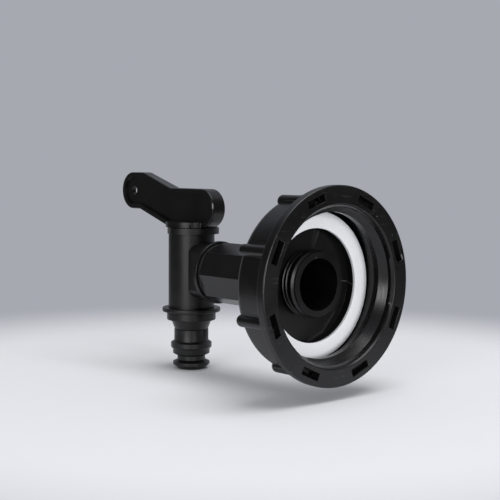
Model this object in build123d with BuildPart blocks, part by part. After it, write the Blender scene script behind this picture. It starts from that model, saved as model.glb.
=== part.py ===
"""Tank tap: a swivel coupling nut, a flange adapter and a lever plug tap with a click nozzle.

The coupling's axis is X and points out of the mouth, towards the tank. The tap's barrel is
upright along Z. The origin lies on the coupling's axis where the tank thread starts.
"""

import os
from math import atan2, cos, degrees, hypot, radians, sin

from build123d import *

# Coupling nut
thread_radius = 30.5  # plain bore at the root of the coarse tank thread
thread_length = 9.5
lead_in_depth = 1.2
lead_in_width = 1.1
relief_step = 0.5  # run-out behind the thread, wider than its root
relief_length = 3.6  # thread end to the gasket's face
nut_wall = 3.7  # relief to the nut's outside
flange_lip = 3.9  # flange past the nut's wall
flange_thickness = 3.8
flange_round = 0.6
nut_back_wall = 2.4
nut_back_round = 4.0
nut_step_round = 0.9
nut_clearance = 0.3  # running gap between the nut and the adapter
rib_count = 8
rib_phase = 20.5  # first rib, degrees from +Y towards +Z
rib_radius = 2.4
rib_rise = 2.1  # rib top above the nut's wall
rib_end_gap = 0.2  # rib end to the nut's back face
slot_length = 9.2
slot_width = 3.0
slot_draft = 5.0  # degrees
slot_web = 0.8  # skin left behind each slot, outside the nut's wall
notch_length = 7.2  # slot's way on into the wall, beside the rib
notch_width = 1.2
notch_depth = 3.4

# Gasket
gasket_clearance = 1.8  # gasket's edge inside the nut's relief
gasket_overhang = 2.2  # gasket past the adapter's rim
gasket_inset = 1.55  # gasket's hole inside the rim's hole
gasket_thickness = 1.3
gasket_lean = -35.0  # side the loose gasket lies on, degrees from +Y towards +Z

# Flange adapter
rim_width = 3.0
rim_thickness = 2.7
disc_recess = 3.3  # disc face below the rim
disc_thickness = 2.4
hub_step = 1.6  # rim past the hub that carries the nut
hub_wall = 2.0
bead_rise = 0.8  # snap bead that keeps the nut on the hub
bead_width = 1.2
tube_bore_radius = 10.2
tube_thread_root_radius = 12.06
tube_thread_length = 5.1
tube_cone_radius = 13.2  # foot of the lead-in cone
tube_lip_radius = 12.6
tube_groove_radius = 12.2
tube_groove_width = 0.7
tube_lip_width = 0.5
tube_reach = 3.4  # tube end past the gasket's face
shank_corner_radius = 13.0
shank_sides = 8
shank_length = 47.9
shank_root_radius = 15.0
shank_root_length = 3.0
inlet_bore_length = 28.0
passage_radius = 8.0
socket_radius = 10.45
socket_depth = 15.0

# Collar washer
washer_thickness = 1.5
washer_radius = 12.2
washer_clearance = 0.1  # washer bore over the spigot

# Tap body
collar_radius = 13.4
collar_thickness = 1.9
collar_round = 0.4
spigot_clearance = 0.25  # spigot to the adapter's socket
spigot_end_gap = 0.7
spigot_bore_radius = 6.5
neck_length = 18.3  # collar to the barrel's axis
neck_half_width = 7.2
neck_half_height = 11.8
neck_round = 4.0
barrel_radius = 10.1
barrel_top = 15.8  # inlet axis to the stop ring's foot
barrel_edge_round = 0.4
stop_ring_lip = 2.0
stop_ring_height = 2.65
stop_ring_span = 164.0  # degrees about the barrel's axis, on the inlet's side
lower_collar_drop = 16.8  # inlet axis to the collar's top
lower_collar_lip = 2.7
lower_collar_height = 1.75
waist_lip = 0.4
waist_height = 0.85
skirt_lip = 0.65
skirt_height = 2.85
cone_step = 1.2  # cone's top inside the barrel's surface
cone_height = 4.2
nozzle_neck_step = 0.3  # cone's foot inside the neck
nozzle_neck_radius = 7.55
nozzle_neck_height = 4.9
nozzle_bevel = 1.0  # height of the bevel above and below each ridge
ridge_radius = 9.0
ridge_height = 1.95
seal_ridge_radius = 8.1
seal_ridge_height = 1.8
seal_groove_radius = 6.15
seal_groove_height = 1.8
tip_height = 1.1
tip_bevel_height = 1.45
tip_radius = 6.4
tip_end_height = 0.45
outlet_radius = 4.6  # water way through the nozzle

# Lever and plug
barrel_wall = 2.94
plug_clearance = 0.06  # running fit of the plug in the barrel
plug_drop = 14.5  # inlet axis to the plug's foot
plug_floor_gap = 0.6
plug_bore_wall = 0.9  # seal groove to the plug's bore
plug_bore_rise = 6.0  # plug bore above the inlet axis
snap_rise = 0.5
snap_height = 1.4
snap_level = 13.6
snap_clearance = 0.3
seal_section_radius = 0.75
seal_gap = 0.03
upper_seal_level = 9.4
lower_seal_drop = 10.0
port_seal_margin = 2.3  # plug's side to the port seal's edge
port_seal_width = 1.1
port_seal_land = 0.6  # port seal to the port
port_seal_thickness = 0.9
disc_gap = 0.25  # lever disc above the stop ring
lever_disc_lip = 1.3
lever_disc_height = 2.3
stop_lug_span = 63.0  # degrees, under the lever's arm
stop_lug_height = 3.3
stop_lug_gap = 0.3  # lug to the barrel
lever_thickness = 7.0  # at the nose
lever_end_thickness = 4.6
lever_web = 2.4  # between the sunk panels
lever_half_height = 8.4
lever_nose_reach = 10.7
lever_bend_reach = 13.4
lever_grip_start = 34.7
lever_end_reach = 41.9
lever_lift = 6.8  # grip end above the hub end
lever_edge_round = 0.6
panel_border = 2.2
hang_hole_radius = 2.1

# Radii about the coupling's axis
relief_radius = thread_radius + relief_step
nut_radius = relief_radius + nut_wall
flange_radius = nut_radius + flange_lip
gasket_outer_radius = relief_radius - gasket_clearance
gasket_shift = gasket_clearance - nut_clearance
rim_radius = gasket_outer_radius - gasket_overhang
rim_inner_radius = rim_radius - rim_width
gasket_inner_radius = rim_inner_radius - gasket_inset
hub_radius = rim_radius - hub_step
spigot_radius = socket_radius - spigot_clearance

# Stations along the coupling's axis
mouth_x = lead_in_depth
flange_back_x = mouth_x - flange_thickness
gasket_face_x = -thread_length - relief_length
rim_front_x = gasket_face_x - gasket_thickness
rim_back_x = rim_front_x - rim_thickness
wall_front_x = rim_back_x - nut_clearance
nut_back_x = wall_front_x - nut_back_wall
bead_x = nut_back_x - nut_clearance
hub_back_x = bead_x - bead_width
disc_face_x = rim_front_x - disc_recess
disc_back_x = disc_face_x - disc_thickness
tube_end_x = gasket_face_x + tube_reach
shank_end_x = disc_back_x - shank_length
socket_x = shank_end_x + socket_depth
collar_front_x = shank_end_x - washer_thickness
collar_back_x = collar_front_x - collar_thickness
tap_x = collar_back_x - neck_length
tap_axis = Axis((tap_x, 0, 0), (0, 0, 1))
spigot_end_x = socket_x - spigot_end_gap

# Radii about the barrel's axis
lever_disc_radius = barrel_radius + lever_disc_lip
lower_collar_radius = barrel_radius + lower_collar_lip
waist_radius = barrel_radius + waist_lip
skirt_radius = barrel_radius + skirt_lip
bore_radius = barrel_radius - barrel_wall
plug_radius = bore_radius - plug_clearance
port_seal_outer_radius = plug_radius - port_seal_margin
port_seal_inner_radius = port_seal_outer_radius - port_seal_width
port_radius = port_seal_inner_radius - port_seal_land

# Levels along the barrel's axis
stop_ring_top = barrel_top + stop_ring_height
lever_base = stop_ring_top + disc_gap
plug_foot = -plug_drop
bore_floor = plug_foot - plug_floor_gap


def radial_plane(angle):
    """Plane through the barrel's axis, with its x axis at the given angle from +X."""
    turn = radians(angle)
    return Plane(origin=(tap_x, 0, 0), x_dir=(cos(turn), sin(turn), 0), z_dir=(sin(turn), -cos(turn), 0))


def round_corner(sketch, x, y, radius):
    """Round the sketch's corner nearest to a point."""
    fillet(sketch.vertices().sort_by_distance((x, y, 0))[0], radius=radius)


def save(piece, name):
    """Label a finished piece and write its file."""
    piece.part.label = name
    export_step(piece.part, f"parts/{name}.step")


os.makedirs("parts", exist_ok=True)

# Coupling nut: flanged and slotted ring with grip ribs
rib_pitch_radius = nut_radius + rib_rise - rib_radius
rib_end_x = nut_back_x + rib_end_gap + rib_radius
nut_hole_radius = hub_radius + nut_clearance

with BuildPart(Plane.YZ) as coupling_nut:
    with BuildSketch(Plane.XY) as nut_profile:
        with BuildLine():
            Polyline(
                (mouth_x, thread_radius + lead_in_width),
                (0, thread_radius),
                (-thread_length, thread_radius),
                (-thread_length - relief_step, relief_radius),
                (wall_front_x, relief_radius),
                (wall_front_x, nut_hole_radius),
                (nut_back_x, nut_hole_radius),
                (nut_back_x, nut_radius),
                (flange_back_x, nut_radius),
                (flange_back_x, flange_radius),
                (mouth_x, flange_radius),
                close=True,
            )
        make_face()
        round_corner(nut_profile, nut_back_x, nut_radius, nut_back_round)
        round_corner(nut_profile, flange_back_x, nut_radius, nut_step_round)
        round_corner(nut_profile, flange_back_x, flange_radius, flange_round)
        round_corner(nut_profile, mouth_x, flange_radius, flange_round)
    revolve(axis=Axis.X)
    with BuildSketch(Plane.YZ.offset(flange_back_x + slot_web)):
        with PolarLocations(nut_radius - notch_width / 2, rib_count, start_angle=rib_phase):
            Rectangle(notch_width, notch_length)
    extrude(amount=-slot_web - notch_depth, mode=Mode.SUBTRACT)
    with BuildSketch(Plane.YZ.offset(flange_back_x)):
        with PolarLocations(rib_pitch_radius, rib_count, start_angle=rib_phase):
            Circle(rib_radius)
    extrude(amount=rib_end_x - flange_back_x)
    with Locations((0, 0, rib_end_x)):
        with PolarLocations(rib_pitch_radius, rib_count, start_angle=rib_phase):
            Sphere(rib_radius)
    with BuildSketch(Plane.YZ.offset(mouth_x)):
        with PolarLocations(nut_radius, rib_count, start_angle=rib_phase):
            Rectangle(slot_width, slot_length)
    extrude(amount=slot_web - flange_thickness, taper=slot_draft, mode=Mode.SUBTRACT)
save(coupling_nut, "coupling_nut")

# Flat gasket on the adapter's rim
with BuildPart() as flat_gasket:
    with BuildSketch(Plane.YZ.offset(rim_front_x)):
        with PolarLocations(gasket_shift, 1, start_angle=gasket_lean):
            Circle(gasket_outer_radius)
            Circle(gasket_inner_radius, mode=Mode.SUBTRACT)
    extrude(amount=gasket_thickness)
save(flat_gasket, "flat_gasket")

# Flange adapter: dished disc with a threaded tube in front and an octagonal socket behind
cone_back_x = disc_face_x + tube_thread_length
groove_front_x = tube_end_x - tube_lip_width
groove_back_x = groove_front_x - tube_groove_width
hub_inner_radius = hub_radius - hub_wall
inlet_step_x = tube_end_x - inlet_bore_length

with BuildPart() as flange_adapter:
    with BuildSketch(Plane.XY):
        with BuildLine():
            Polyline(
                (tube_end_x, 0),
                (tube_end_x, tube_lip_radius),
                (groove_front_x, tube_lip_radius),
                (groove_front_x, tube_groove_radius),
                (groove_back_x, tube_groove_radius),
                (cone_back_x, tube_cone_radius),
                (cone_back_x, tube_thread_root_radius),
                (disc_face_x, tube_thread_root_radius),
                (disc_face_x, rim_inner_radius),
                (rim_front_x, rim_inner_radius),
                (rim_front_x, rim_radius),
                (rim_back_x, rim_radius),
                (rim_back_x, hub_radius),
                (bead_x, hub_radius),
                (bead_x, hub_radius + bead_rise),
                (hub_back_x, hub_radius),
                (hub_back_x, hub_inner_radius),
                (disc_back_x, hub_inner_radius),
                (disc_back_x, shank_root_radius),
                (disc_back_x - shank_root_length, shank_corner_radius),
                (disc_back_x - shank_root_length, 0),
                close=True,
            )
        make_face()
    revolve(axis=Axis.X)
    with BuildSketch(Plane.YZ.offset(disc_back_x)):
        RegularPolygon(shank_corner_radius, shank_sides)
    extrude(amount=-shank_length)
    with BuildSketch(Plane.XY):
        with BuildLine():
            Polyline(
                (tube_end_x, 0),
                (tube_end_x, tube_bore_radius),
                (inlet_step_x, tube_bore_radius),
                (inlet_step_x, passage_radius),
                (socket_x, passage_radius),
                (socket_x, socket_radius),
                (shank_end_x, socket_radius),
                (shank_end_x, 0),
                close=True,
            )
        make_face()
    revolve(axis=Axis.X, mode=Mode.SUBTRACT)
save(flange_adapter, "flange_adapter")

# Collar washer between the octagonal socket and the tap's collar
with BuildPart() as collar_washer:
    with BuildSketch(Plane.YZ.offset(collar_front_x)):
        Circle(washer_radius)
        Circle(spigot_radius + washer_clearance, mode=Mode.SUBTRACT)
    extrude(amount=washer_thickness)
save(collar_washer, "collar_washer")

# Tap body: barrel, neck, collar, spigot, stop ring and click nozzle in one moulding
waist_top = -lower_collar_drop - lower_collar_height
skirt_top = waist_top - waist_height
skirt_foot = skirt_top - skirt_height
cone_foot = skirt_foot - cone_height
ridge_bevel_top = cone_foot - nozzle_neck_height
ridge_top = ridge_bevel_top - nozzle_bevel
ridge_foot = ridge_top - ridge_height
seal_ridge_top = ridge_foot - nozzle_bevel
seal_ridge_foot = seal_ridge_top - seal_ridge_height
groove_top = seal_ridge_foot - nozzle_bevel
groove_foot = groove_top - seal_groove_height
tip_top = groove_foot - nozzle_bevel
tip_foot = tip_top - tip_height
tip_bevel_foot = tip_foot - tip_bevel_height
nozzle_foot = tip_bevel_foot - tip_end_height
snap_groove_radius = plug_radius + snap_rise + snap_clearance

with BuildPart() as tap_body:
    with BuildSketch(radial_plane(0)) as barrel_profile:
        with BuildLine():
            Polyline(
                (0, stop_ring_top),
                (barrel_radius, stop_ring_top),
                (barrel_radius, -lower_collar_drop),
                (lower_collar_radius, -lower_collar_drop),
                (lower_collar_radius, waist_top),
                (waist_radius, waist_top),
                (waist_radius, skirt_top),
                (skirt_radius, skirt_top),
                (skirt_radius, skirt_foot),
                (barrel_radius - cone_step, skirt_foot),
                (nozzle_neck_radius - nozzle_neck_step, cone_foot),
                (nozzle_neck_radius, cone_foot),
                (nozzle_neck_radius, ridge_bevel_top),
                (ridge_radius, ridge_top),
                (ridge_radius, ridge_foot),
                (seal_ridge_radius, seal_ridge_top),
                (seal_ridge_radius, seal_ridge_foot),
                (seal_groove_radius, groove_top),
                (seal_groove_radius, groove_foot),
                (seal_ridge_radius, tip_top),
                (seal_ridge_radius, tip_foot),
                (tip_radius, tip_bevel_foot),
                (tip_radius - tip_end_height, nozzle_foot),
                (0, nozzle_foot),
                close=True,
            )
        make_face()
        for level in (-lower_collar_drop, waist_top):
            round_corner(barrel_profile, lower_collar_radius, level, barrel_edge_round)
        round_corner(barrel_profile, skirt_radius, skirt_foot, barrel_edge_round)
    revolve(axis=tap_axis)
    with BuildSketch(Plane.YZ.offset(collar_back_x)):
        RectangleRounded(2 * neck_half_width, 2 * neck_half_height, neck_round)
    extrude(amount=-neck_length)
    with BuildSketch(Plane.YZ.offset(collar_back_x)):
        Circle(collar_radius)
    extrude(amount=collar_thickness)
    collar_rims = tap_body.edges().filter_by(GeomType.CIRCLE).filter_by(
        lambda edge: edge.radius == collar_radius and edge.length > collar_radius
    )
    fillet(collar_rims, radius=collar_round)
    with BuildSketch(Plane.YZ.offset(collar_front_x)):
        Circle(spigot_radius)
    extrude(amount=spigot_end_x - collar_front_x)
    with BuildSketch(radial_plane(-stop_ring_span / 2)):
        with Locations((barrel_radius, barrel_top)):
            Rectangle(stop_ring_lip, stop_ring_height, align=(Align.MIN, Align.MIN))
    revolve(axis=tap_axis, revolution_arc=stop_ring_span)
    with BuildSketch(radial_plane(0)):
        with BuildLine():
            Polyline(
                (0, stop_ring_top),
                (bore_radius, stop_ring_top),
                (bore_radius, snap_level + snap_height / 2 + snap_clearance),
                (snap_groove_radius, snap_level + snap_height / 2 + snap_clearance),
                (snap_groove_radius, snap_level - snap_height / 2 - snap_clearance),
                (bore_radius, snap_level - snap_height / 2 - snap_clearance),
                (bore_radius, bore_floor),
                (outlet_radius, bore_floor),
                (outlet_radius, nozzle_foot),
                (0, nozzle_foot),
                close=True,
            )
        make_face()
    revolve(axis=tap_axis, mode=Mode.SUBTRACT)
    with BuildSketch(Plane.YZ.offset(spigot_end_x)):
        Circle(spigot_bore_radius)
    extrude(amount=collar_back_x - spigot_end_x, mode=Mode.SUBTRACT)
    with BuildSketch(Plane.YZ.offset(collar_back_x)):
        Circle(port_radius)
    extrude(amount=-neck_length, mode=Mode.SUBTRACT)
save(tap_body, "tap_body")

# Lever and plug: one moulding with a dog-leg lever, a stop lug and a hollow plug
lever_axis_level = lever_base + lever_half_height
lever_knees = [
    (lever_nose_reach, lever_axis_level),
    (-lever_bend_reach, lever_axis_level),
    (-lever_grip_start, lever_axis_level + lever_lift),
    (-lever_end_reach, lever_axis_level + lever_lift),
]
seal_ring_radius = bore_radius - seal_gap - seal_section_radius
seal_groove_floor = seal_ring_radius - seal_section_radius - seal_gap
plug_bore_radius = seal_groove_floor - plug_bore_wall
seal_levels = {"upper_o_ring": upper_seal_level, "lower_o_ring": -lower_seal_drop}
port_seal_face = bore_radius - seal_gap
port_seal_floor = port_seal_face - port_seal_thickness


def lever_outline(half_height):
    """Stadiums along the lever's dog-leg centre line."""
    for start, end in zip(lever_knees, lever_knees[1:]):
        run = (end[0] - start[0], end[1] - start[1])
        with Locations(((start[0] + end[0]) / 2, (start[1] + end[1]) / 2)):
            SlotCenterToCenter(hypot(*run), 2 * half_height, rotation=degrees(atan2(run[1], run[0])))


def saddle_ring(inner_radius, outer_radius, floor_radius, face_radius):
    """Ring about the inlet axis, cut from a shell about the barrel's axis."""
    with BuildPart() as ring:
        with BuildSketch(Plane.YZ.offset(tap_x)):
            Circle(outer_radius)
            Circle(inner_radius, mode=Mode.SUBTRACT)
        extrude(amount=face_radius)
        with BuildSketch(Plane((tap_x, 0, -outer_radius))):
            Circle(face_radius)
            Circle(floor_radius, mode=Mode.SUBTRACT)
        extrude(amount=2 * outer_radius, mode=Mode.INTERSECT)
    return ring


port_seal = saddle_ring(
    port_seal_inner_radius,
    port_seal_outer_radius,
    port_seal_floor,
    port_seal_face,
)
save(port_seal, "port_seal")
port_seal_seat = saddle_ring(
    port_seal_inner_radius - seal_gap,
    port_seal_outer_radius + seal_gap,
    port_seal_floor - seal_gap,
    port_seal_face,
)

with BuildPart() as lever_plug:
    with BuildSketch(radial_plane(0)):
        lever_outline(lever_half_height)
    extrude(amount=lever_thickness / 2, both=True)
    with BuildSketch(Plane((tap_x, 0, lever_base))):
        with BuildLine():
            Polyline(
                (lever_nose_reach + lever_half_height, lever_thickness / 2),
                (-lever_end_reach - lever_half_height, lever_end_thickness / 2),
                (-lever_end_reach - lever_half_height, -lever_end_thickness / 2),
                (lever_nose_reach + lever_half_height, -lever_thickness / 2),
                close=True,
            )
        make_face()
    extrude(amount=2 * lever_half_height + lever_lift, mode=Mode.INTERSECT)
    lever_sides = lever_plug.faces().sort_by(Axis.Y)
    fillet(lever_sides[0].edges() + lever_sides[-1].edges(), radius=lever_edge_round)
    for side in (1, -1):
        with BuildSketch(radial_plane(0).offset(side * lever_web / 2)):
            lever_outline(lever_half_height - panel_border)
        extrude(amount=side * lever_thickness, mode=Mode.SUBTRACT)
    with BuildSketch(radial_plane(0)):
        with Locations(lever_knees[-1]):
            Circle(hang_hole_radius)
    extrude(amount=lever_thickness / 2, both=True, mode=Mode.SUBTRACT)
    with BuildSketch(Plane((tap_x, 0, lever_base))):
        Circle(lever_disc_radius)
    extrude(amount=lever_disc_height)
    with BuildSketch(radial_plane(180 - stop_lug_span / 2)):
        with Locations((barrel_radius + stop_lug_gap, lever_base)):
            Rectangle(lever_disc_lip - stop_lug_gap, stop_lug_height, align=(Align.MIN, Align.MAX))
    revolve(axis=tap_axis, revolution_arc=stop_lug_span)
    with BuildSketch(radial_plane(0)):
        with BuildLine():
            Polyline(
                (0, lever_base),
                (plug_radius, lever_base),
                (plug_radius, snap_level + snap_height / 2),
                (plug_radius + snap_rise, snap_level + snap_height / 2),
                (plug_radius, snap_level - snap_height / 2),
                (plug_radius, plug_foot),
                (0, plug_foot),
                close=True,
            )
        make_face()
        for level in seal_levels.values():
            with Locations((seal_groove_floor, level)):
                Rectangle(
                    2 * (plug_radius - seal_groove_floor),
                    2 * (seal_section_radius + seal_gap),
                    align=(Align.MIN, Align.CENTER),
                    mode=Mode.SUBTRACT,
                )
    revolve(axis=tap_axis)
    with BuildSketch(Plane((tap_x, 0, plug_foot))):
        Circle(plug_bore_radius)
    extrude(amount=plug_drop + plug_bore_rise, mode=Mode.SUBTRACT)
    with BuildSketch(Plane.YZ.offset(tap_x)):
        Circle(port_radius)
    extrude(amount=plug_radius, mode=Mode.SUBTRACT)
    add(port_seal_seat.part, mode=Mode.SUBTRACT)
save(lever_plug, "lever_plug")

# Seals on the plug
for seal_name, level in seal_levels.items():
    with BuildPart() as seal_ring:
        with BuildSketch(radial_plane(0)):
            with Locations((seal_ring_radius, level)):
                Circle(seal_section_radius)
        revolve(axis=tap_axis)
    save(seal_ring, seal_name)
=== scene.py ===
from math import cos, radians, sin, tau

import bmesh
import bpy
from mathutils import Matrix, Quaternion, Vector


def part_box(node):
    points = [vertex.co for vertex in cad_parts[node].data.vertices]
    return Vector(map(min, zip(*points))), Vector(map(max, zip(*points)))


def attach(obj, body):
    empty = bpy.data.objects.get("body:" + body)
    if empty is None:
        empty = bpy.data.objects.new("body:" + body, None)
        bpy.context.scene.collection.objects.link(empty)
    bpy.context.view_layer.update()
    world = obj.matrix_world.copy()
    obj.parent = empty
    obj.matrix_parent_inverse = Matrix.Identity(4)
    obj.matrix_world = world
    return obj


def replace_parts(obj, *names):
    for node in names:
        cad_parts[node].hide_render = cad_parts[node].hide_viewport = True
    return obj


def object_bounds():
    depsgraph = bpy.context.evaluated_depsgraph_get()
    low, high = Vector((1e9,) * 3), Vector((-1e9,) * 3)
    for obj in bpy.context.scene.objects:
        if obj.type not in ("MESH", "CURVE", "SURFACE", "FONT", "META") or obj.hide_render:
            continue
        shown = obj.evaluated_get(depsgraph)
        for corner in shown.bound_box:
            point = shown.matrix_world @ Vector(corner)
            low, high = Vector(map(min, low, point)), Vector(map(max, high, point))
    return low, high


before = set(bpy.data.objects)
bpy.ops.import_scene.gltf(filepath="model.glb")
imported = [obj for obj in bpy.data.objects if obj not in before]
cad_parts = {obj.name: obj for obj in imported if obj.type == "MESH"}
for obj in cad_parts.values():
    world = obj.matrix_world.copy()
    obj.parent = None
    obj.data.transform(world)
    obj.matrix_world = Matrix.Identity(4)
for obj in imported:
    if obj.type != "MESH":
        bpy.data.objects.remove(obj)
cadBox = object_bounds()
mm = 0.001
weld = 0.002 * mm  # points this near are one
scene = bpy.context.scene
print("frame loaded:", ", ".join(sorted(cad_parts)))


def hexColour(code):
    parts = [int(code[i:i + 2], 16) / 255 for i in (0, 2, 4)]
    return [p / 12.92 if p <= 0.04045 else ((p + 0.055) / 1.055) ** 2.4 for p in parts] + [1]


def addNode(tree, kind, inputs=None, **settings):
    # an input is a number, a colour or another node's output
    node = tree.nodes.new(kind)
    for name, value in settings.items():
        setattr(node, name, value)
    for socket, value in (inputs or {}).items():
        if isinstance(value, bpy.types.NodeSocket):
            tree.links.new(value, node.inputs[socket])
        else:
            node.inputs[socket].default_value = value
    return node


def newMaterial(name):
    material = bpy.data.materials.new(name)
    material.use_nodes = True
    tree = material.node_tree
    return material, tree, tree.nodes["Principled BSDF"]


def layMark(tree, shader, mask, colour, roughness):
    # paints a mark over the colour and the sheen that are already there
    paint = addNode(tree, "ShaderNodeMixRGB", {0: mask, 1: shader.inputs["Base Color"].links[0].from_socket,
                                               2: hexColour(colour)})
    sheen = addNode(tree, "ShaderNodeMix", {"Factor": mask,
                                            "A": shader.inputs["Roughness"].links[0].from_socket,
                                            "B": roughness})
    tree.links.new(paint.outputs[0], shader.inputs["Base Color"])
    tree.links.new(sheen.outputs["Result"], shader.inputs["Roughness"])


# sizes in mm
plastic = {"colour": "060607", "cloudColour": "0B0B0C", "roughness": (0.28, 0.36), "ior": 1.49, "shine": 0.42,
           "cloud": 11.0, "grain": 0.7, "dust": "8E8E90", "dustGap": 5.5, "dustSize": 0.16,
           "markRoughness": 0.42}


def mouldedPolypropylene(name, marksAndHighlights, rougher=0):
    # black polypropylene straight from the mould: a satin sheen that changes a little from place to place,
    # stray specks of dust, and a grain too fine to see singly, so drawn 0.7 mm wide
    material, tree, shader = newMaterial(name)
    spot = addNode(tree, "ShaderNodeTexCoord").outputs["Object"]
    cloud = addNode(tree, "ShaderNodeTexNoise", {"Vector": spot, "Scale": 1 / (plastic["cloud"] * mm),
                                                 "Detail": 4.0})
    grain = addNode(tree, "ShaderNodeTexNoise", {"Vector": spot, "Scale": 1 / (plastic["grain"] * mm),
                                                 "Detail": 2.0})
    drift = addNode(tree, "ShaderNodeMapRange", {"Value": cloud.outputs["Fac"],
                                                 "From Min": 0.35, "From Max": 0.65})
    tint = addNode(tree, "ShaderNodeMixRGB", {0: drift.outputs[0], 1: hexColour(plastic["colour"]),
                                              2: hexColour(plastic["cloudColour"])})
    specks = addNode(tree, "ShaderNodeTexVoronoi", {"Vector": spot, "Scale": 1 / (plastic["dustGap"] * mm)})
    reach = addNode(tree, "ShaderNodeMapRange", {"Value": grain.outputs["Fac"],
                                                 "From Min": 0.4, "From Max": 0.6,
                                                 "To Min": 0.2 * plastic["dustSize"] / plastic["dustGap"],
                                                 "To Max": plastic["dustSize"] / plastic["dustGap"]})
    dust = addNode(tree, "ShaderNodeMath", {0: specks.outputs["Distance"], 1: reach.outputs[0]},
                   operation="LESS_THAN")
    paint = addNode(tree, "ShaderNodeMixRGB", {0: dust.outputs[0], 1: tint.outputs[0],
                                               2: hexColour(plastic["dust"])})
    sheen = addNode(tree, "ShaderNodeMapRange", {"Value": cloud.outputs["Fac"],
                                                 "From Min": 0.3, "From Max": 0.7,
                                                 "To Min": plastic["roughness"][0] + rougher,
                                                 "To Max": plastic["roughness"][1] + rougher})
    bump = addNode(tree, "ShaderNodeBump", {"Strength": 0.12, "Distance": 0.05 * mm,
                                            "Height": grain.outputs["Fac"]})
    tree.links.new(paint.outputs[0], shader.inputs["Base Color"])
    tree.links.new(sheen.outputs[0], shader.inputs["Roughness"])
    tree.links.new(bump.outputs["Normal"], shader.inputs["Normal"])
    shader.inputs["IOR"].default_value = plastic["ior"]
    shader.inputs["Specular IOR Level"].default_value = plastic["shine"]
    for markAndHighlight in marksAndHighlights.values():
        start, end = (Vector(point) * mm for point in markAndHighlight["ends"])
        run = end - start
        away = addNode(tree, "ShaderNodeVectorMath", {0: spot, 1: start}, operation="SUBTRACT").outputs[0]
        share = addNode(tree, "ShaderNodeVectorMath", {0: away, 1: run / run.length_squared},
                        operation="DOT_PRODUCT")
        share = addNode(tree, "ShaderNodeClamp", {0: share.outputs["Value"]}).outputs[0]
        foot = addNode(tree, "ShaderNodeVectorMath", {0: run, "Scale": share}, operation="SCALE").outputs[0]
        off = addNode(tree, "ShaderNodeVectorMath", {0: away, 1: foot}, operation="DISTANCE").outputs["Value"]
        stroke = addNode(tree, "ShaderNodeMapRange", {"Value": off, "From Min": markAndHighlight["half"] * mm,
                                                      "From Max": (markAndHighlight["half"] + markAndHighlight["soft"]) * mm,
                                                      "To Min": 1.0, "To Max": 0.0},
                         interpolation_type="SMOOTHSTEP")
        layMark(tree, shader, stroke.outputs[0], markAndHighlight["colour"], plastic["markRoughness"])
    return material, tree, shader, spot


# scratches and painted highlights: both ends, half width and soft edge in mm
adapterScratches = {
    "flowLine": {"ends": ((-17.7, 7.3, 19.9), (-17.7, 4.8, 14.5)),
                 "half": 0.15, "soft": 0.5, "colour": "2A2A2C"},
    "flowHaze": {"ends": ((-17.7, 5.4, 21.0), (-17.7, 4.2, 14.5)),
                 "half": 0.2, "soft": 1.8, "colour": "121214"},
    "hair": {"ends": ((-17.7, 16.0, 0.3), (-17.7, 23.2, -0.8)),
             "half": 0.04, "soft": 0.12, "colour": "5C5C5E"},
    "hairEnd": {"ends": ((-17.7, 23.9, -0.8), (-14.6, 23.95, -2.2)),
                "half": 0.04, "soft": 0.12, "colour": "5C5C5E"},
    "sweep": {"ends": ((-17.7, 16.6, -13.0), (-17.7, 10.2, -20.1)),
              "half": 0.1, "soft": 0.6, "colour": "1C1C1E"},
    "sweepEnd": {"ends": ((-17.7, 10.2, -20.1), (-17.7, 2.0, -23.2)),
                 "half": 0.15, "soft": 0.7, "colour": "222224"},
}
nutChipAndRimHighlight = {
    # painted highlight: pale strokes along the outer edge and the end of one slot's rim, where the edge
    # catches the light; partly a small chip
    "slotChipHighlight": {"ends": ((1.2, 35.1, 10.5), (1.2, 35.9, 9.0)),
                 "half": 0.15, "soft": 0.3, "colour": "5A5A5C"},
    "slotRimHighlight": {"ends": ((1.2, 35.2, 8.8), (1.2, 32.2, 8.0)),
                 "half": 0.06, "soft": 0.15, "colour": "4A4A4C"},
}
leverScratches = {
    "noseNick": {"ends": ((-71.0, -3.4, 29.3), (-70.95, -3.35, 27.6)),
                 "half": 0.15, "soft": 0.3, "colour": "727274"},
}
nutWear = {"mouthX": 1.2, "boreRadius": 31.0, "streak": 0.35, "gloss": (0.2, 0.36), "scuffWidth": 0.5,
           "scuffTurns": (25, -38), "scuffColour": "343436", "scuffRoughness": 0.45, "patch": 5.0}


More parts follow.
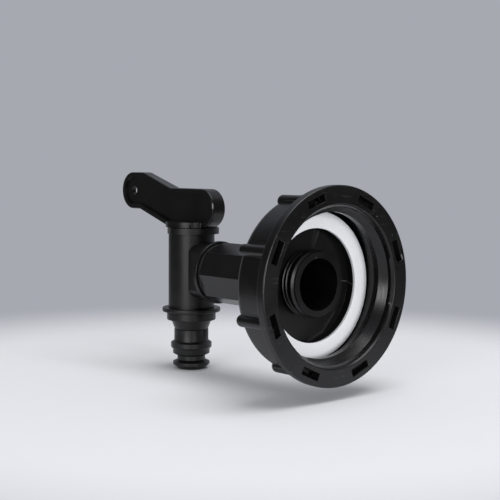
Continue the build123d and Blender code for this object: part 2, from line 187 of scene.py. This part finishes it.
def wornPolypropylene():
    # the coupling nut is handled the most: fine scuffs cross its flat front, and the core that was
    # unscrewed from its thread has left the inside glossier, with streaks round it
    material, tree, shader, spot = mouldedPolypropylene("wornPolypropylene", nutChipAndRimHighlight)
    x = addNode(tree, "ShaderNodeSeparateXYZ", {0: spot}).outputs[0]
    flat = addNode(tree, "ShaderNodeVectorMath", {0: spot, 1: (0, 1, 1)}, operation="MULTIPLY").outputs[0]
    radius = addNode(tree, "ShaderNodeVectorMath", {0: flat}, operation="LENGTH").outputs["Value"]
    front = addNode(tree, "ShaderNodeMath", {0: x, 1: (nutWear["mouthX"] - 0.1) * mm},
                    operation="GREATER_THAN")
    patch = addNode(tree, "ShaderNodeTexNoise", {"Vector": spot, "Scale": 1 / (nutWear["patch"] * mm),
                                                 "Detail": 5.0})
    patch = addNode(tree, "ShaderNodeMapRange", {"Value": patch.outputs["Fac"],
                                                 "From Min": 0.42, "From Max": 0.62})
    patch = addNode(tree, "ShaderNodeMath", {0: patch.outputs[0], 1: front.outputs[0]}, operation="MULTIPLY")
    for scuffTurn in nutWear["scuffTurns"]:
        laid = addNode(tree, "ShaderNodeMapping", {"Vector": spot, "Rotation": (radians(scuffTurn), 0, 0),
                                                   "Scale": (1, 0.08, 1)})
        lines = addNode(tree, "ShaderNodeTexNoise", {"Vector": laid.outputs[0], "Detail": 1.0,
                                                     "Scale": 1 / (nutWear["scuffWidth"] * mm)})
        scuff = addNode(tree, "ShaderNodeMapRange", {"Value": lines.outputs["Fac"], "To Max": 0.6,
                                                     "From Min": 0.66, "From Max": 0.75})
        scuff = addNode(tree, "ShaderNodeMath", {0: scuff.outputs[0], 1: patch.outputs[0]},
                        operation="MULTIPLY")
        layMark(tree, shader, scuff.outputs[0], nutWear["scuffColour"], nutWear["scuffRoughness"])
    inside = addNode(tree, "ShaderNodeMath", {0: radius, 1: (nutWear["boreRadius"] + 0.1) * mm},
                     operation="LESS_THAN")
    ring = addNode(tree, "ShaderNodeCombineXYZ", {1: radius}).outputs[0]
    ring = addNode(tree, "ShaderNodeVectorMath", {0: spot, 1: (1, 0.04, 0.04), 2: ring},
                   operation="MULTIPLY_ADD")
    streak = addNode(tree, "ShaderNodeTexNoise", {"Vector": ring.outputs[0],
                                                  "Scale": 1 / (nutWear["streak"] * mm), "Detail": 3.0})
    gloss = addNode(tree, "ShaderNodeMapRange", {"Value": streak.outputs["Fac"],
                                                 "From Min": 0.3, "From Max": 0.7,
                                                 "To Min": nutWear["gloss"][0],
                                                 "To Max": nutWear["gloss"][1]})
    sheen = addNode(tree, "ShaderNodeMix", {"Factor": inside.outputs[0], "B": gloss.outputs[0],
                                            "A": shader.inputs["Roughness"].links[0].from_socket})
    tree.links.new(sheen.outputs["Result"], shader.inputs["Roughness"])
    return material


foam = {"colour": "E6E7EA", "shade": "DCDDE1", "roughness": 0.85, "cell": 0.45}


def closedCellFoam():
    # white foam sheet: matt, with the fine pitted grain of its cut cells
    material, tree, shader = newMaterial("closedCellFoam")
    spot = addNode(tree, "ShaderNodeTexCoord").outputs["Object"]
    cells = addNode(tree, "ShaderNodeTexVoronoi", {"Vector": spot, "Scale": 1 / (foam["cell"] * mm)})
    pit = cells.outputs["Distance"]
    tint = addNode(tree, "ShaderNodeMixRGB", {0: pit, 1: hexColour(foam["colour"]),
                                              2: hexColour(foam["shade"])})
    bump = addNode(tree, "ShaderNodeBump", {"Strength": 0.3, "Distance": 0.1 * mm, "Height": pit})
    tree.links.new(tint.outputs[0], shader.inputs["Base Color"])
    tree.links.new(bump.outputs["Normal"], shader.inputs["Normal"])
    shader.inputs["Roughness"].default_value = foam["roughness"]
    return material


rubber = {"colour": "0B0B0B", "bloomColour": "1B1B1B", "roughness": 0.65, "bloom": 1.5}


def nitrileRubber():
    # moulded black rubber: duller than the plastic, with a fine chalky bloom
    material, tree, shader = newMaterial("nitrileRubber")
    spot = addNode(tree, "ShaderNodeTexCoord").outputs["Object"]
    bloom = addNode(tree, "ShaderNodeTexNoise", {"Vector": spot, "Scale": 1 / (rubber["bloom"] * mm),
                                                 "Detail": 4.0})
    tint = addNode(tree, "ShaderNodeMixRGB", {0: bloom.outputs["Fac"], 1: hexColour(rubber["colour"]),
                                              2: hexColour(rubber["bloomColour"])})
    tree.links.new(tint.outputs[0], shader.inputs["Base Color"])
    shader.inputs["Roughness"].default_value = rubber["roughness"]
    return material


bodyPlastic = mouldedPolypropylene("mouldedPolypropylene", {}, 0.07)[0]
adapterPlastic = mouldedPolypropylene("flowMarkedPolypropylene", adapterScratches)[0]
leverPlastic = mouldedPolypropylene("nickedPolypropylene", leverScratches)[0]
nutPlastic = wornPolypropylene()
whiteFoam = closedCellFoam()
blackRubber = nitrileRubber()
print("materials ready")


def finishPiece(bm, name, body, material, smoothAngle=32):
    mesh = bpy.data.meshes.new(name)
    bm.to_mesh(mesh)
    bm.free()
    mesh.shade_smooth()
    mesh.set_sharp_from_angle(angle=radians(smoothAngle))
    mesh.materials.clear()
    mesh.materials.append(material)
    piece = bpy.data.objects.new(name, mesh)
    scene.collection.objects.link(piece)
    piece.modifiers.new("flatFaces", "WEIGHTED_NORMAL").keep_sharp = True  # no soft shade across flat faces
    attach(piece, body)
    return piece


# edge: small round in mm that the mould leaves on sharp corners, past edgesFrom along X;
# the tap's body and its lever have their rounds already
mouldings = {
    "coupling_nut": {"body": "nut", "material": nutPlastic, "smoothAngle": 32,
                     "edge": 0.14, "edgesFrom": 1.19},
    "flange_adapter": {"body": "tap", "material": adapterPlastic, "smoothAngle": 32,
                       "edge": 0.12, "edgesFrom": -100},
    "tap_body": {"body": "tap", "material": bodyPlastic, "smoothAngle": 22},
    "lever_plug": {"body": "lever", "material": leverPlastic, "smoothAngle": 30},
}
flatAngle, sharpAngle = 0.3, 35
for node, moulding in mouldings.items():
    bm = bmesh.new()
    bm.from_mesh(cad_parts[node].data)
    bmesh.ops.remove_doubles(bm, verts=bm.verts, dist=weld)
    bmesh.ops.dissolve_limit(bm, angle_limit=radians(flatAngle), verts=bm.verts, edges=bm.edges)
    if "edge" in moulding:
        sharp = [e for e in bm.edges if len(e.link_faces) == 2 and e.calc_face_angle() > radians(sharpAngle)
                 and min(v.co.x for v in e.verts) > moulding["edgesFrom"] * mm]
        bmesh.ops.bevel(bm, geom=sharp, offset=moulding["edge"] * mm, segments=2, profile=0.5, affect="EDGES",
                        clamp_overlap=False, material=-1)
    skin = finishPiece(bm, node + "_skin", moulding["body"], moulding["material"],
                       moulding["smoothAngle"])
    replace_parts(skin, node)
print("mouldings ready")


def spunRing(section, middle, steps):
    # a closed section, along the axis and from it, turned once round the X axis through middle
    bm = bmesh.new()
    corners = [bm.verts.new((x, middle.y + r, middle.z)) for x, r in section]
    outline = [bm.edges.new((corners[i], corners[i - 1])) for i in range(len(corners))]
    bmesh.ops.spin(bm, geom=corners + outline, cent=middle, axis=(1, 0, 0), angle=tau, steps=steps,
                   use_merge=True)
    bmesh.ops.remove_doubles(bm, verts=bm.verts, dist=weld)
    bmesh.ops.recalc_face_normals(bm, faces=bm.faces)
    return bm


gasket = {"inner": 22.45, "edge": 0.2, "steps": 160}  # the rest is the CAD ring's own box
low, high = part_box("flat_gasket")
middle = (low + high) / 2
inner, outer = gasket["inner"] * mm, middle.y - low.y
bm = spunRing(((low.x, inner), (high.x, inner), (high.x, outer), (low.x, outer)), middle, gasket["steps"])
corners = [e for e in bm.edges if len(e.link_faces) == 2 and e.calc_face_angle() > radians(sharpAngle)]
bmesh.ops.bevel(bm, geom=corners, offset=gasket["edge"] * mm, segments=3, profile=0.5, affect="EDGES",
                material=-1)
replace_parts(finishPiece(bm, "foamGasket", "tap", whiteFoam), "flat_gasket")

for node in ("collar_washer", "upper_o_ring", "lower_o_ring", "port_seal"):
    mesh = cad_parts[node].data
    mesh.materials.clear()
    mesh.materials.append(blackRubber)
print("gasket and seals ready")

# section: along the axis and from it, in mm, at angle 0 (+Y); limits keep the ridge on its wall
tankThread = {"section": ((-0.2, 30.7), (-4.8, 28.35), (-7.4, 28.35), (-7.9, 30.7)), "pitch": 6.0,
              "startDeg": -150, "endDeg": 150, "fadeDeg": 45, "stepDeg": 2.5, "limits": (-9.4, -1.2),
              "flatZ": 40.0}
tubeThread = {"section": ((-13.0, 11.95), (-13.55, 13.15), (-13.85, 13.15), (-14.4, 11.95)), "pitch": 1.814,
              "startDeg": -660, "endDeg": 130, "fadeDeg": 40, "stepDeg": 5, "limits": (-17.65, -12.65),
              "flatZ": 12.25}
fadeThin, fadeRound = 0.04, 0.6


def threadRidge(thread):
    # one ridge wound round the X axis and sunk a little into its wall; it fades in and out
    bm = bmesh.new()
    corners = [bm.verts.new((x * mm, r * mm, 0)) for x, r in thread["section"]]
    start, end = radians(thread["startDeg"]), radians(thread["endDeg"])
    steps = round((thread["endDeg"] - thread["startDeg"]) / thread["stepDeg"])
    rise = thread["pitch"] * mm / tau
    place = Matrix.Translation((rise * start, 0, 0)) @ Matrix.Rotation(start, 4, "X")
    bmesh.ops.transform(bm, matrix=place, verts=corners)
    outline = [bm.edges.new((corners[i], corners[i - 1])) for i in range(len(corners))]
    bmesh.ops.spin(bm, geom=corners + outline, cent=(0, 0, 0), axis=(1, 0, 0), angle=end - start, steps=steps,
                   dvec=(rise * (end - start) / steps, 0, 0))
    bm.verts.index_update()
    foot = thread["section"][0][1] * mm
    for vert in bm.verts:
        ring = vert.index // len(corners)
        near = min(ring, steps - ring) * thread["stepDeg"] / thread["fadeDeg"]
        share = fadeThin + (1 - fadeThin) * min(1, near) ** fadeRound
        radius = Vector((0, vert.co.y, vert.co.z)).length
        vert.co.yz *= (foot + (radius - foot) * share) / radius
        vert.co.x = min(max(vert.co.x, thread["limits"][0] * mm), thread["limits"][1] * mm)
        vert.co.z = min(max(vert.co.z, -thread["flatZ"] * mm), thread["flatZ"] * mm)
    bmesh.ops.holes_fill(bm, edges=[e for e in bm.edges if e.is_boundary])
    bmesh.ops.recalc_face_normals(bm, faces=bm.faces)
    return bm


finishPiece(threadRidge(tankThread), "tankThreadRidge", "nut", nutPlastic, 25)
finishPiece(threadRidge(tubeThread), "tubeThreadRidge", "tap", adapterPlastic, 25)

# lead-in at the foot of the tube's groove, sunk into its cone; along the axis and from it, in mm
leadIn = {"section": ((-11.0, 12.24), (-11.65, 13.2), (-12.58, 13.2), (-12.58, 12.0), (-11.0, 12.0)),
          "steps": 120}
bm = spunRing([(x * mm, r * mm) for x, r in leadIn["section"]], Vector(), leadIn["steps"])
finishPiece(bm, "tubeLeadIn", "tap", adapterPlastic)
print("threads and lead-in ready")

# sizes in metres; the floor fades out between two distances from the tap's middle
stage = {"floor": "E4E5EA", "floorRoughness": 0.8, "floorRadius": 1.0, "middle": (-0.05, 0, 0),
         "fade": (0.14, 0.27), "backdrop": "A7A9B1", "ambient": 0.35}


def stagePiece(bm, name, material):
    mesh = bpy.data.meshes.new(name)
    bm.to_mesh(mesh)
    bm.free()
    mesh.materials.append(material)
    piece = bpy.data.objects.new(name, mesh)
    scene.collection.objects.link(piece)
    return piece


paleFloor, tree, shader = newMaterial("paleFloor")
shader.inputs["Base Color"].default_value = hexColour(stage["floor"])
shader.inputs["Roughness"].default_value = stage["floorRoughness"]
spot = addNode(tree, "ShaderNodeTexCoord").outputs["Object"]
far = addNode(tree, "ShaderNodeVectorMath", {0: spot, 1: stage["middle"]},
              operation="DISTANCE").outputs["Value"]
fade = addNode(tree, "ShaderNodeMapRange", {"Value": far,
                                            "From Min": stage["fade"][0], "From Max": stage["fade"][1]},
               interpolation_type="SMOOTHSTEP")
clear = addNode(tree, "ShaderNodeBsdfTransparent")
blend = addNode(tree, "ShaderNodeMixShader", {0: fade.outputs[0], 1: shader.outputs[0], 2: clear.outputs[0]})
tree.links.new(blend.outputs[0], tree.nodes["Material Output"].inputs["Surface"])
bm = bmesh.new()
bmesh.ops.create_circle(bm, cap_ends=True, segments=96, radius=stage["floorRadius"])
bmesh.ops.translate(bm, verts=bm.verts, vec=(0, 0, cadBox[0][2]))
stagePiece(bm, "floor", paleFloor)

# dark curtain on the camera's side, seen only in reflections, so that black plastic stays black
curtain = {"fromDeg": -175, "toDeg": 78, "steps": 48, "distance": 2.2, "bottom": -1.0, "top": 2.2,
           "glow": 0.1}
darkCurtain, tree, shader = newMaterial("darkCurtain")
cloth = addNode(tree, "ShaderNodeEmission", {"Color": (1, 1, 1, 1), "Strength": curtain["glow"]})
tree.links.new(cloth.outputs[0], tree.nodes["Material Output"].inputs["Surface"])
bm = bmesh.new()
turn = Matrix.Rotation(radians(curtain["fromDeg"]), 3, "Z")
rail = [bm.verts.new(turn @ Vector((curtain["distance"], 0, z))) for z in (curtain["bottom"], curtain["top"])]
bmesh.ops.spin(bm, geom=rail + [bm.edges.new(rail)], cent=(0, 0, 0), axis=(0, 0, 1), steps=curtain["steps"],
               angle=radians(curtain["toDeg"] - curtain["fromDeg"]))
screen = stagePiece(bm, "curtain", darkCurtain)
screen.visible_camera = screen.visible_diffuse = screen.visible_shadow = False

world = bpy.data.worlds.new("studio")
scene.world = world
world.use_nodes = True
tree = world.node_tree
tree.nodes.clear()
path = addNode(tree, "ShaderNodeLightPath").outputs
seen = addNode(tree, "ShaderNodeMath", {0: path["Is Camera Ray"], 1: path["Is Glossy Ray"]},
               operation="MAXIMUM")
seen = addNode(tree, "ShaderNodeMath", {0: seen.outputs[0], 1: path["Is Transmission Ray"]},
               operation="MAXIMUM")
ambient = addNode(tree, "ShaderNodeBackground", {"Color": (1, 1, 1, 1), "Strength": stage["ambient"]})
backdrop = addNode(tree, "ShaderNodeBackground", {"Color": hexColour(stage["backdrop"]), "Strength": 1.0})
mix = addNode(tree, "ShaderNodeMixShader", {0: seen.outputs[0], 1: ambient.outputs[0],
                                            2: backdrop.outputs[0]})
addNode(tree, "ShaderNodeOutputWorld", {"Surface": mix.outputs[0]})

# bearing and height in degrees as seen from the tap, distance and size in metres, watts
softboxes = {
    "keySoftbox": {"bearing": -68, "height": 9, "distance": 1.2, "size": (0.65, 0.45), "power": 5.8},
    "frontSoftbox": {"bearing": -10, "height": 6, "distance": 1.5, "size": (0.7, 0.6), "power": 13.0},
    "topSoftbox": {"bearing": 20, "height": 76, "distance": 1.1, "size": (0.8, 0.8), "power": 8.4},
}
aim = Vector(stage["middle"])
for name, box in softboxes.items():
    light = bpy.data.lights.new(name, "AREA")
    light.shape = "RECTANGLE"
    light.size, light.size_y = box["size"]
    light.energy = box["power"]
    lamp = bpy.data.objects.new(name, light)
    scene.collection.objects.link(lamp)
    turn, rise = radians(box["bearing"]), radians(box["height"])
    lamp.location = aim + Vector((cos(rise) * cos(turn), cos(rise) * sin(turn), sin(rise))) * box["distance"]
    lamp.rotation_euler = (aim - lamp.location).to_track_quat("-Z", "Y").to_euler()
print("stage and lights ready")

# degrees, and millimetres
view = {"azimuth": -41.0, "elevation": 4.37, "roll": 0.37, "distance": 412.1, "aim": (-21.8, -24.9, 13.75),
        "angle": 25.86}
turn, rise = radians(view["azimuth"]), radians(view["elevation"])
back = Vector((cos(rise) * cos(turn), cos(rise) * sin(turn), sin(rise)))
lens = bpy.data.cameras.new("camera")
lens.sensor_fit = "HORIZONTAL"
lens.angle = radians(view["angle"])
lens.clip_start = 0.01
camera = bpy.data.objects.new("camera", lens)
scene.collection.objects.link(camera)
camera.location = (Vector(view["aim"]) + back * view["distance"]) * mm
camera.rotation_mode = "QUATERNION"
camera.rotation_quaternion = (-back).to_track_quat("-Z", "Y") @ Quaternion((0, 0, 1), radians(view["roll"]))
scene.camera = camera
scene.view_settings.view_transform = "Standard"

print("scene ready")
